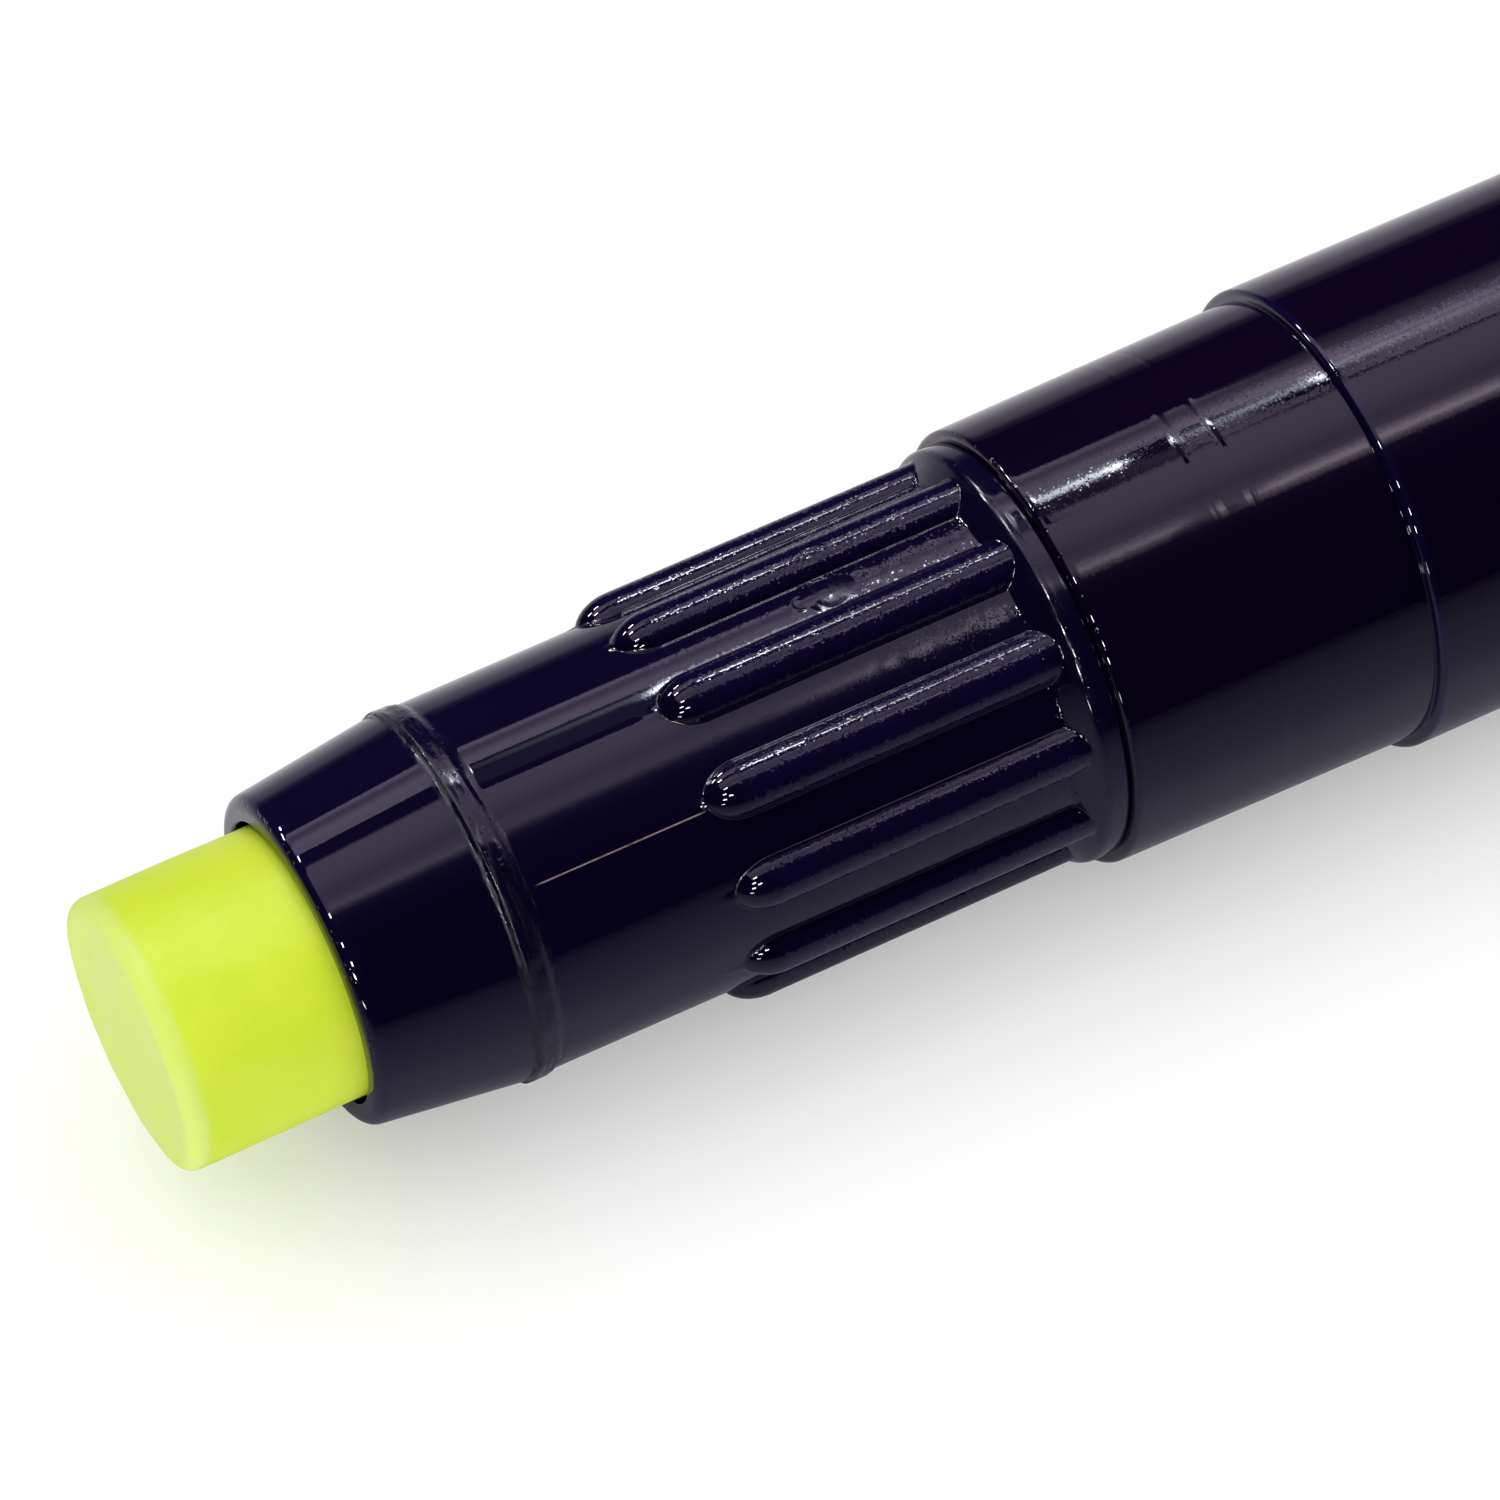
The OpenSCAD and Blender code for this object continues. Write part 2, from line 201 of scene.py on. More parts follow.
def rib_turns(count, turn, axis_r, radius, wall_r):
    """Angles round the axis: even steps along the ribs' own arcs, close together at their feet."""
    reach = axis_r + radius * 0.6
    foot = math.asin(math.sqrt(radius ** 2 - (wall_r - axis_r) ** 2) / reach)
    lean = np.radians(np.arange(0, 50, 3))
    crest = np.arcsin(radius * np.sin(lean) / reach)
    flank = np.arange(crest[-1] + 0.004, foot + 0.02, 0.004)
    groove = np.linspace(flank[-1], math.pi / count, 7)[1:]
    half = np.concatenate([crest, flank, groove])
    both = np.concatenate([-half[:0:-1], half[:-1]])
    return np.concatenate([math.radians(turn) + 2 * math.pi / count * k + both for k in range(count)])


# Meshes

def turned(name, outline, angles, shape=None, closed=True, sharp=35.0):
    """Mesh of an outline turned about the axis; shape(s, r, angle) may change radius and station."""
    rows, columns = len(outline), len(angles)
    s = np.repeat(outline[:, :1], columns, 1)
    r = np.repeat(outline[:, 1:], columns, 1)
    angle = np.repeat(angles[None, :], rows, 0)
    if shape:
        s, r = shape(s, r, angle)
    co = np.stack([MOUTH_X + s, -r * np.sin(angle), AXIS_Z + r * np.cos(angle)], -1) * MM
    index = np.arange(rows * columns).reshape(rows, columns)
    right = np.roll(index, -1, 1)
    lower, upper = (index, np.roll(index, -1, 0)) if closed else (index[:-1], index[1:])
    lower_r, upper_r = (right, np.roll(right, -1, 0)) if closed else (right[:-1], right[1:])
    quads = np.stack([lower, lower_r, upper_r, upper], -1).reshape(-1, 4)
    length = np.concatenate([[0], np.cumsum(np.linalg.norm(np.diff(outline, axis=0), axis=1))])
    if closed:
        length = np.append(length, length[-1] + np.linalg.norm(outline[0] - outline[-1]))
    length = length / length[-1]
    u0, u1 = np.repeat(length[:-1], columns), np.repeat(length[1:], columns)
    v = np.tile(np.arange(columns), len(length) - 1) / columns
    v1 = v + 1 / columns
    uv = np.stack([u0, v, u0, v1, u1, v1, u1, v], -1).reshape(-1, 4, 2)
    faces, maps = quads.tolist(), uv.reshape(len(quads), -1).tolist()
    if not closed:
        first, last = set(index[0].tolist()), set(index[-1].tolist())
        pole_a, pole_b = int(index[0, 0]), int(index[-1, 0])
        for f, m in zip(faces, maps):
            if f[0] in first:
                f[:], m[:] = [pole_a, f[2], f[3]], m[0:2] + m[4:8]
            elif f[3] in last:
                f[:], m[:] = [f[0], f[1], pole_b], m[0:6]
    used = np.unique(np.array([i for f in faces for i in f]))
    renumber = np.full(rows * columns, -1)
    renumber[used] = np.arange(len(used))
    mesh = bpy.data.meshes.new(name)
    mesh.from_pydata(co.reshape(-1, 3)[used].tolist(), [], [[int(renumber[i]) for i in f] for f in faces])
    layer = mesh.uv_layers.new(name="OFBake", do_init=False)
    layer.uv.foreach_set("vector", np.array([x for m in maps for x in m], np.float32))
    mesh.polygons.foreach_set("use_smooth", [True] * len(mesh.polygons))
    mesh.set_sharp_from_angle(angle=math.radians(sharp))
    mesh.validate()
    mesh.update()
    piece = bpy.data.objects.new(name, mesh)
    bpy.context.scene.collection.objects.link(piece)
    return piece


def fit(piece, body, node, material):
    """Puts a piece in a CAD node's place."""
    piece.data.materials.append(material)
    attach(piece, body)
    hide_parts(node)


# Materials

NOSE_DEEP, NOSE_PALE, NOSE_LEAN = (0.0034, 0.0021, 0.0165, 1), (0.0041, 0.0026, 0.0195, 1), 0.09
BARREL_DEEP, BARREL_PALE, BARREL_LEAN = (0.0034, 0.0013, 0.0108, 1), (0.0041, 0.0016, 0.0125, 1), 0.036
# The edge tint is a painted sheen: a lighter, bluer colour put on the lip, the ribs and the step ring in
# place of their light.
EDGE_SHEEN_TINT, HAIRLINE_TINT = (0.005, 0.0027, 0.025, 1), (0.42, 0.32, 0.31, 1)
WAX_DEEP, WAX_PALE, WAX_END = (0.70, 0.89, 0.038, 1), (0.76, 0.92, 0.06, 1), (0.74, 0.90, 0.23, 1)
FEED_TINT, FEED_SHADE = (0.74, 0.74, 0.68, 1), (0.80, 0.80, 0.75, 1)
GUIDE_TINT, GUIDE_SHADE = (0.56, 0.57, 0.60, 1), (0.62, 0.63, 0.66, 1)
RUBBER_TINT, RUBBER_BLOOM = (0.012, 0.012, 0.013, 1), (0.03, 0.03, 0.032, 1)
FLOOR_TINT, FLOOR_PALE = (0.85, 0.85, 0.85, 1), (0.87, 0.87, 0.87, 1)

# Tiny tilted patches: cells to a millimetre, weight of the rare steep ones, share of the tilt lengthwise
FACET_SCALE, FACET_RARE, FACET_ALONG = 22.0, 0.4, 0.05
PIT_SCALE, PIT_SHARE, PIT_DEPTH = 8.0, 0.3, 0.000016


def new_material(name):
    material = bpy.data.materials.new(name)
    material.use_nodes = True
    return material, material.node_tree, material.node_tree.nodes["Principled BSDF"]


def node(tree, kind, values=None, **settings):
    """Adds a shader node; a socket among the values is linked, anything else is set."""
    n = tree.nodes.new("ShaderNode" + kind)
    for key, value in settings.items():
        setattr(n, key, value)
    for key, value in (values or {}).items():
        if isinstance(value, bpy.types.NodeSocket):
            tree.links.new(value, n.inputs[key])
        else:
            n.inputs[key].default_value = value
    return n


def millimetres(tree):
    """Object coordinates in millimetres."""
    return scaled(tree, node(tree, "TexCoord").outputs["Object"], 1 / MM)


def scaled(tree, vector, factor):
    return node(tree, "VectorMath", {0: vector, "Scale": factor}, operation="SCALE").outputs["Vector"]


def vector_node(tree, operation, *values):
    return node(tree, "VectorMath", dict(enumerate(values)), operation=operation).outputs["Vector"]


def noise(tree, where, scale, detail=2.0, rough=0.5, stretch=None):
    if stretch:
        where = vector_node(tree, "MULTIPLY", where, stretch)
    values = {"Vector": where, "Scale": scale, "Detail": detail, "Roughness": rough}
    return node(tree, "TexNoise", values).outputs["Fac"]


def math_node(tree, operation, a, b=0.0):
    return node(tree, "Math", {0: a, 1: b}, operation=operation).outputs["Value"]


def remap(tree, value, a, b, to_a=0.0, to_b=1.0):
    values = {"Value": value, "From Min": a, "From Max": b, "To Min": to_a, "To Max": to_b}
    return node(tree, "MapRange", values, interpolation_type="SMOOTHSTEP").outputs["Result"]


def mix(tree, factor, a, b):
    n = node(tree, "Mix", data_type="RGBA")
    for key, value in zip((0, 6, 7), (factor, a, b)):
        if isinstance(value, bpy.types.NodeSocket):
            tree.links.new(value, n.inputs[key])
        else:
            n.inputs[key].default_value = value
    return n.outputs[2]


def bump(tree, height, distance, strength=1.0, normal=None):
    values = {"Height": height, "Distance": distance, "Strength": strength}
    if normal:
        values["Normal"] = normal
    return node(tree, "Bump", values).outputs["Normal"]


def pits(tree, where, strength, normal):
    """Scattered shallow pits, each wide enough to catch a light."""
    cells = node(tree, "TexVoronoi", {"Vector": where, "Scale": PIT_SCALE})
    pick = node(tree, "SeparateColor", {0: cells.outputs["Color"]}).outputs[0]
    there = math_node(tree, "LESS_THAN", pick, PIT_SHARE)
    dip = remap(tree, cells.outputs["Distance"], 0.1, 0.5)
    height = math_node(tree, "MULTIPLY", there, math_node(tree, "SUBTRACT", dip, 1.0))
    return bump(tree, height, PIT_DEPTH, strength, normal)


def facets(tree, where, lean, normal):
    """Tilts tiny patches of the surface across the marker, most of them hardly, so a small light sparkles."""
    cells = node(tree, "TexVoronoi", {"Vector": where, "Scale": FACET_SCALE}).outputs["Color"]
    spread = vector_node(tree, "MULTIPLY_ADD", cells, (2, 2, 2), (-1, -1, -1))
    square = vector_node(tree, "MULTIPLY", spread, spread)
    cube = vector_node(tree, "MULTIPLY", square, spread)
    fifth = vector_node(tree, "MULTIPLY", square, cube)
    tenth = vector_node(tree, "MULTIPLY", fifth, fifth)
    rare = vector_node(tree, "MULTIPLY", tenth, fifth)
    both = vector_node(tree, "MULTIPLY_ADD", rare, (FACET_RARE, FACET_RARE, FACET_RARE), fifth)
    across = vector_node(tree, "MULTIPLY", both, (FACET_ALONG, 1, 1))
    tilted = vector_node(tree, "ADD", scaled(tree, across, lean), normal)
    return vector_node(tree, "NORMALIZE", tilted)


def plastic(name, deep, pale, lean, hairline=None):
    """Glossy dark moulded plastic: flow lines, a sparkle where it is grained, specks along worn edges, and a
    painted sheen, a lighter bluer tint, where the vertices mark it.
    """
    material, tree, shader = new_material(name)
    where = millimetres(tree)
    flow = noise(tree, where, 0.5, 4, 0.6, stretch=(0.25, 1, 1))
    smear = noise(tree, where, 1.1, 5, 0.65, stretch=(0.35, 1, 1))
    wear = node(tree, "Attribute", attribute_name="wear").outputs["Fac"]
    grain = node(tree, "Attribute", attribute_name="grain").outputs["Fac"]
    tilt = math_node(tree, "MULTIPLY", grain, lean)
    normal = facets(tree, where, tilt, node(tree, "NewGeometry").outputs["Normal"])
    normal = pits(tree, where, wear, normal)
    colour = mix(tree, remap(tree, flow, 0.35, 0.7), deep, pale)
    # Painted sheen: a lighter, bluer tint where the vertices mark it.
    edge = node(tree, "Attribute", attribute_name="edge").outputs["Fac"]
    colour = mix(tree, edge, colour, EDGE_SHEEN_TINT)
    if hairline:
        colour = mix(tree, hairline(tree, where), colour, HAIRLINE_TINT)
    tree.links.new(colour, shader.inputs["Base Color"])
    rub = node(tree, "Attribute", attribute_name="rub").outputs["Fac"]
    streaks = noise(tree, where, 2.0, 4, stretch=(5, 0.8, 0.8))
    scuff = math_node(tree, "MULTIPLY", rub, remap(tree, streaks, 0.4, 0.65, 0.07, 0.32))
    gloss = math_node(tree, "ADD", remap(tree, smear, 0.3, 0.75, 0.016, 0.03), scuff)
    tree.links.new(gloss, shader.inputs["Roughness"])
    tree.links.new(normal, shader.inputs["Normal"])
    shader.inputs["IOR"].default_value = 1.5
    return material


def nose_hairline(tree, where):
    """Share of a fine pale line along the plain part of the nose."""
    place = node(tree, "SeparateXYZ", {0: where}).outputs
    high = math_node(tree, "SUBTRACT", place["Z"], AXIS_Z)
    turn = math_node(tree, "ARCTAN2", math_node(tree, "MULTIPLY", place["Y"], -1.0), high)
    off = math_node(tree, "ABSOLUTE", math_node(tree, "SUBTRACT", turn, math.radians(HAIRLINE_ANGLE)))
    line = remap(tree, math_node(tree, "MULTIPLY", off, WALL_R), 0.008, 0.024, 1.0, 0.0)
    start = remap(tree, place["X"], MOUTH_X + BEAD_END + 0.2, MOUTH_X + BEAD_END + 0.5)
    stop = remap(tree, place["X"], MOUTH_X + RIB_S - 0.2, MOUTH_X + RIB_S + 0.1, 1.0, 0.0)
    broken = remap(tree, noise(tree, where, 2.5, 2), 0.3, 0.5, 0.35, 1.0)
    reach = math_node(tree, "MULTIPLY", start, stop)
    return math_node(tree, "MULTIPLY", math_node(tree, "MULTIPLY", line, broken), reach)


def wax():
    """Satin, slightly translucent marking wax with a paler, scuffed end."""
    material, tree, shader = new_material("stick_wax")
    where = millimetres(tree)
    cloud = noise(tree, where, 0.55, 4, 0.55)
    colour = mix(tree, remap(tree, cloud, 0.3, 0.7), WAX_DEEP, WAX_PALE)
    tip = node(tree, "Attribute", attribute_name="tip").outputs["Fac"]
    swirl = noise(tree, where, 0.9, 5, 0.6, stretch=(1, 1, 0.5))
    pale = math_node(tree, "MULTIPLY", tip, remap(tree, swirl, 0.2, 0.8, 0.55, 1.0))
    colour = mix(tree, pale, colour, WAX_END)
    grain = noise(tree, where, 7.0, 4, 0.6)
    tree.links.new(colour, shader.inputs["Base Color"])
    tree.links.new(remap(tree, grain, 0.3, 0.7, 0.38, 0.5), shader.inputs["Roughness"])
    tree.links.new(bump(tree, grain, 0.000006), shader.inputs["Normal"])
    shader.inputs["IOR"].default_value = 1.44
    shader.inputs["Specular IOR Level"].default_value = 0.4
    shader.inputs["Subsurface Weight"].default_value = 0.35
    shader.inputs["Subsurface Radius"].default_value = (1.0, 1.0, 0.25)
    shader.inputs["Subsurface Scale"].default_value = 0.0008
    return material


def moulded(name, base, shade):
    """Natural moulded plastic of the hidden feed: faint flow marks and a fine satin grain."""
    material, tree, shader = new_material(name)
    where = millimetres(tree)
    flow = noise(tree, where, 0.3, 4, 0.6, stretch=(0.3, 1, 1))
    grain = noise(tree, where, 8.0, 3)
    tree.links.new(mix(tree, remap(tree, flow, 0.3, 0.7), base, shade), shader.inputs["Base Color"])
    tree.links.new(remap(tree, grain, 0.3, 0.7, 0.34, 0.5), shader.inputs["Roughness"])
    tree.links.new(bump(tree, grain, 0.000004), shader.inputs["Normal"])
    return material


def rubber():
    """Matt black rubber with a fine bloom."""
    material, tree, shader = new_material("ring_rubber")
    where = millimetres(tree)
    bloom = noise(tree, where, 2.0, 5, 0.65)
    grain = noise(tree, where, 14.0, 2)
    colour = mix(tree, remap(tree, bloom, 0.4, 0.75), RUBBER_TINT, RUBBER_BLOOM)
    tree.links.new(colour, shader.inputs["Base Color"])
    tree.links.new(remap(tree, grain, 0.3, 0.7, 0.6, 0.8), shader.inputs["Roughness"])
    tree.links.new(bump(tree, grain, 0.000005), shader.inputs["Normal"])
    return material


def attribute(piece, name, values):
    """Gives each vertex of a piece a value that its material reads."""
    layer = piece.data.attributes.new(name, "FLOAT", "POINT")
    layer.data.foreach_set("value", np.asarray(values, np.float32))


def stations(piece):
    """Station, radius and angle of a piece's vertices."""
    co = np.zeros(len(piece.data.vertices) * 3)
    piece.data.vertices.foreach_get("co", co)
    co = co.reshape(-1, 3) / MM
    y, z = -co[:, 1], co[:, 2] - AXIS_Z
    return co[:, 0] - MOUTH_X, np.hypot(y, z), np.arctan2(y, z)


# Pieces

def make_stick(material):
    outline = rounded([
        (-CORE_OUT, 0, 0), (-CORE_OUT, CORE_R, CORE_EDGE), (CORE_END, CORE_R, 0.1), (CORE_END, 0, 0)
    ], closed=False, turn_step=6)
    outline = divided(outline, lambda s, r: 0.2 if s < 1 else 3.0, closed=False)

    def worn(s, r, angle):
        y, z = r * np.sin(angle), r * np.cos(angle)
        front = band(s, AHEAD, 0.9 - CORE_OUT, 0.7)
        for at, height in WORN_LOBES:
            lobe = height * np.exp(-((angle - math.radians(at)) / LOBE_WIDTH) ** 2)
            s = s - front * lobe * (r / CORE_R) ** 4
        s = s + front * 0.04 * lattice(y * 0.45 + 7, z * 0.45 + 3, 11)
        s = s + front * 0.012 * lattice(y * 1.6, z * 1.6, 12)
        waves = 0.02 * lattice(s * 0.5 + 20, angle * 16 / (2 * math.pi), 13)
        return s, r + np.minimum(r, 1) * waves * band(s, AHEAD, 0, 0.5)

    piece = turned("stick", outline, turns(160), worn, closed=False)
    s, _, _ = stations(piece)
    attribute(piece, "tip", band(s, AHEAD, 0.35 - CORE_OUT, 0.25))
    fit(piece, "carriage", "marker_core", material)
    return piece


def nose_outline():
    ring_lo, ring_hi = SNAP_S - SNAP_W / 2, SNAP_S + SNAP_W / 2
    corners = [
        (0, MOUTH_R, 0.08), (0, TIP_R, 0.5),
        (BEAD_S, WALL_R, 0.22), (BEAD_S + 0.1, WALL_R + BEAD_H, 0.1),
        (BEAD_END - 2 * BEAD_H, WALL_R + BEAD_H * 0.8, 0.2), (BEAD_END, WALL_R, 0.3),
        (COLLAR_S, ROOT_R, 0.25), (LAND_S, COLLAR_R, 0.3), (NOSE_S, COLLAR_R, 0.1),
        (NOSE_S, SPIGOT_R, 0),
        (ring_lo, SPIGOT_R, 0), (ring_lo + SNAP_H, SPIGOT_R + SNAP_H, 0.1),
        (ring_hi - SNAP_H, SPIGOT_R + SNAP_H, 0.1), (ring_hi, SPIGOT_R, 0),
        (SPIGOT_END, SPIGOT_R, 0.1), (SPIGOT_END, RELIEF_R, 0.05),
        (MOUTH_LAND, RELIEF_R, 0), (MOUTH_LAND, MOUTH_R, 0.05),
    ]

    def step(s, r):
        if r < WALL_R - 0.6 or s > NOSE_S:
            return 3.0
        if s < 0.8 or BEAD_S - 0.8 < s < BEAD_END + 0.6:
            return 0.03
        if RIB_S - 0.1 < s < RIB_S + RIB_BALL + 0.1:
            return 0.025
        if s > COLLAR_S - 0.4:
            return 0.05
        if abs(s - GATE_S) < 1.1:
            return 0.04
        return 0.13 if s > RIB_S else 0.3

    return divided(rounded(corners), step)


def nose_ribs(s, angle):
    return rib_height(s, angle, RIB_COUNT, RIB_TURN, ROOT_R + RIB_H - RIB_R, RIB_R, RIB_BALL, RIB_S)


def nose_shape(s, r, angle):
    """Adds the ribs, the gate mark and the rubbed bead to the nose's outside."""
    outside = (r > WALL_R - 0.55) & (s < NOSE_S - 0.05)
    ribs = nose_ribs(s, angle)
    ribbed = smooth_max(r, ribs, 0.034)
    r = np.where(outside & (s > RIB_S - 0.3), ribbed, r)
    arc = r * ((angle + math.pi) % (2 * math.pi) - math.pi)
    bead = band(s, BEAD_S, BEAD_END, 0.12) * outside
    r = r + bead * (0.016 * lattice(s * 2.2, arc * 1.3, 21) + 0.009 * lattice(s * 6, arc * 3.1, 22))
    ds, da = s - GATE_S, arc - GATE_ARC
    off = np.hypot(ds, da)
    dome = np.clip(1 - (ds / GATE_LEN) ** 2 - (da / GATE_WIDTH) ** 2, 0, 1)
    swirl = np.sin(off * 17 + 2 * np.arctan2(da, ds)) * lattice(ds * 2.2 + 9, da * 2.2 + 9, 24)
    gate = GATE_H * dome ** 1.5 + SWIRL_H * swirl * band(off, -1, 0.5, 0.3)
    for at_s, at_arc, size in GATE_RINGS:
        off_ring = np.hypot(ds - at_s, da - at_arc) - size
        gate = gate + GATE_RING_H * np.exp(-(off_ring / GATE_RING_WIDTH) ** 2) * (dome <= 0)
    marks = 0.004 * lattice(s * 3.1, arc * 4.0, 25) * band(s, GATE_S + 0.5, COLLAR_S - 0.4, 0.8)
    r = r + np.where(outside, gate + marks * (r < ROOT_R + 0.1), 0)
    return s, r


def make_nose(material):
    angles = rib_turns(RIB_COUNT, RIB_TURN, ROOT_R + RIB_H - RIB_R, RIB_R, ROOT_R)
    fine = GATE_ARC / ROOT_R + np.arange(-0.26, 0.13, 0.007)
    angles = np.unique(np.round(np.concatenate([angles, fine]) % (2 * math.pi), 3))
    piece = turned("nose", nose_outline(), angles, nose_shape, sharp=75)
    s, r, angle = stations(piece)
    outside = (r > MOUTH_R + 0.2) & (s < NOSE_S)
    wear = np.maximum.reduce([
        band(s, AHEAD, 0.12, 0.06),
        0.35 * band(s, BEAD_S - 0.02, BEAD_END, 0.1),
        0.9 * band(s, COLLAR_S - 0.1, COLLAR_S + 0.06, 0.05),
        0.5 * band(s, LAND_S - 0.02, LAND_S + 0.1, 0.05),
    ])
    attribute(piece, "wear", wear * outside)
    wall = np.interp(s, (BEAD_END, COLLAR_S), (WALL_R, ROOT_R))
    foot = np.exp(-((nose_ribs(s, angle) - wall) / 0.05) ** 2) * band(s, RIB_S - 0.2, RIB_S + 0.8, 0.1)
    bead = band(s, BEAD_S - 0.1, BEAD_END + 0.05, 0.08) + 0.8 * band(s, BEAD_S - 0.02, BEAD_S + 0.12, 0.08)
    land = 0.6 * band(s, LAND_S - 0.15, LAND_S + 0.2, 0.1)
    gate = 0.9 * np.exp(-((s - GATE_S) / 0.6) ** 2 - ((r * angle - GATE_ARC) / 0.45) ** 2)
    attribute(piece, "rub", np.maximum.reduce([foot, bead, land, gate]) * outside)
    ribbed = np.clip((r - wall - 0.06) / 0.08, 0, 1) * band(s, RIB_S + 1.0, COLLAR_S, 0.3)
    rough = 0.04 + 0.12 * band(s, RIB_S, COLLAR_S, 0.5) + 0.35 * band(s, GATE_S + 1, COLLAR_S, 1.2)
    attribute(piece, "grain", np.maximum(rough, 1.4 * ribbed) * outside)
    # Painted sheen on the lip and the ribs.
    attribute(piece, "edge", np.maximum(0.8 * band(s, AHEAD, 0.35, 0.15), 0.9 * ribbed) * outside)
    fit(piece, "casing", "nose_cone", material)


def make_barrel(material):
    ring_lo, ring_hi = SNAP_S - SNAP_W / 2, SNAP_S + SNAP_W / 2
    corners = [
        (NOSE_S, BORE_R, 0.05), (NOSE_S, SEAT_R - LEAD_H, 0.16),
        (STEP_S, SEAT_R + SEAT_RISE, 0.03), (STEP_S + STEP_W, BODY_R, 0.26),
        (BARREL_END, BODY_R, 0.15), (BARREL_END, BORE_R, 0.05),
        (ring_hi, BORE_R, 0), (ring_hi - SNAP_H, BORE_R + SNAP_H, 0),
        (ring_lo + SNAP_H, BORE_R + SNAP_H, 0), (ring_lo, BORE_R, 0),
    ]

    def step(s, r):
        if r < SEAT_R - 0.2:
            return 6.0
        if STEP_S - 0.4 < s < STEP_S + 0.5:
            return 0.03
        if RIDGE_S - 0.35 < s < DRAG_S + 0.35:
            return 0.05
        return 0.14 if s < STEP_S + 1.5 else 2.0

    def shape(s, r, angle):
        outside = r > SEAT_R - 0.1
        arc = angle * SEAT_R
        part = np.clip(0.5 + 1.5 * lattice(arc * 0.35, s * 0.1, 31), 0, 1)
        drag = DRAG_DEPTH * part * np.exp(-((s - DRAG_S) / DRAG_WIDTH) ** 2)
        ridge = RIDGE_H * np.exp(-((s - RIDGE_S) / RIDGE_WIDTH) ** 2)
        return s, r + np.where(outside, ridge - drag, 0)

    piece = turned("barrel_shell", divided(rounded(corners), step), turns(288), shape, sharp=50)
    s, r, angle = stations(piece)
    wear = 0.6 * band(s, AHEAD, NOSE_S + 0.12, 0.04)
    attribute(piece, "wear", wear * (r > BORE_R + 0.3))
    # Painted sheen on the step ring.
    attribute(piece, "edge", band(s, STEP_S, STEP_S + 0.2, 0.06) * (r > SEAT_R))
    attribute(piece, "grain", 0.2 + 0.6 * band(np.degrees(angle), -4, 3, 3.5))
    fit(piece, "casing", "barrel", material)


def make_screw(material):
    lead = 2000 * math.pi / abs(frame["record"]["behaviour"]["couplings"][0]["ratio"])
    corners = [
        (SCREW_S, 0, 0), (SCREW_S, SCREW_R - 0.3, 0), (SCREW_S + 0.3, SCREW_R, 0),
        (FLANGE_S, SCREW_R, 0), (FLANGE_S, FLANGE_R, 0.15), (FLANGE_S + FLANGE_T, FLANGE_R, 0.15),
        (FLANGE_S + FLANGE_T, JOURNAL_R, 0), (BUSH_END, JOURNAL_R, 0), (BUSH_END, DRIVE_W / 2, 0),
        (DRIVE_END, DRIVE_W / 2, 0.2), (DRIVE_END, 0, 0)
    ]

    def step(s, r):
        return 0.11 if r > SCREW_R - 0.2 and s < FLANGE_S else 3.0

    def shape(s, r, angle):
        phase = (THREAD_STARTS * (s / lead + angle / (2 * math.pi))) % 1
        groove = band(phase, 0.3, 0.7, 0.16) * band(s, SCREW_S + 0.5, FLANGE_S - 1.2, 0.6)
        threaded = r - THREAD_DEPTH * groove * (r > SCREW_R - 0.05)
        drive = (s > BUSH_END - 0.05) & (r > 0.2)
        return s, np.where(drive, r / (DRIVE_W / 2) * hexagon(angle, DRIVE_W), threaded)

    outline = divided(rounded(corners, closed=False), step, closed=False)
    piece = turned("screw", outline, turns(120), shape, closed=False, sharp=40)
    fit(piece, "knob", "feed_screw", material)


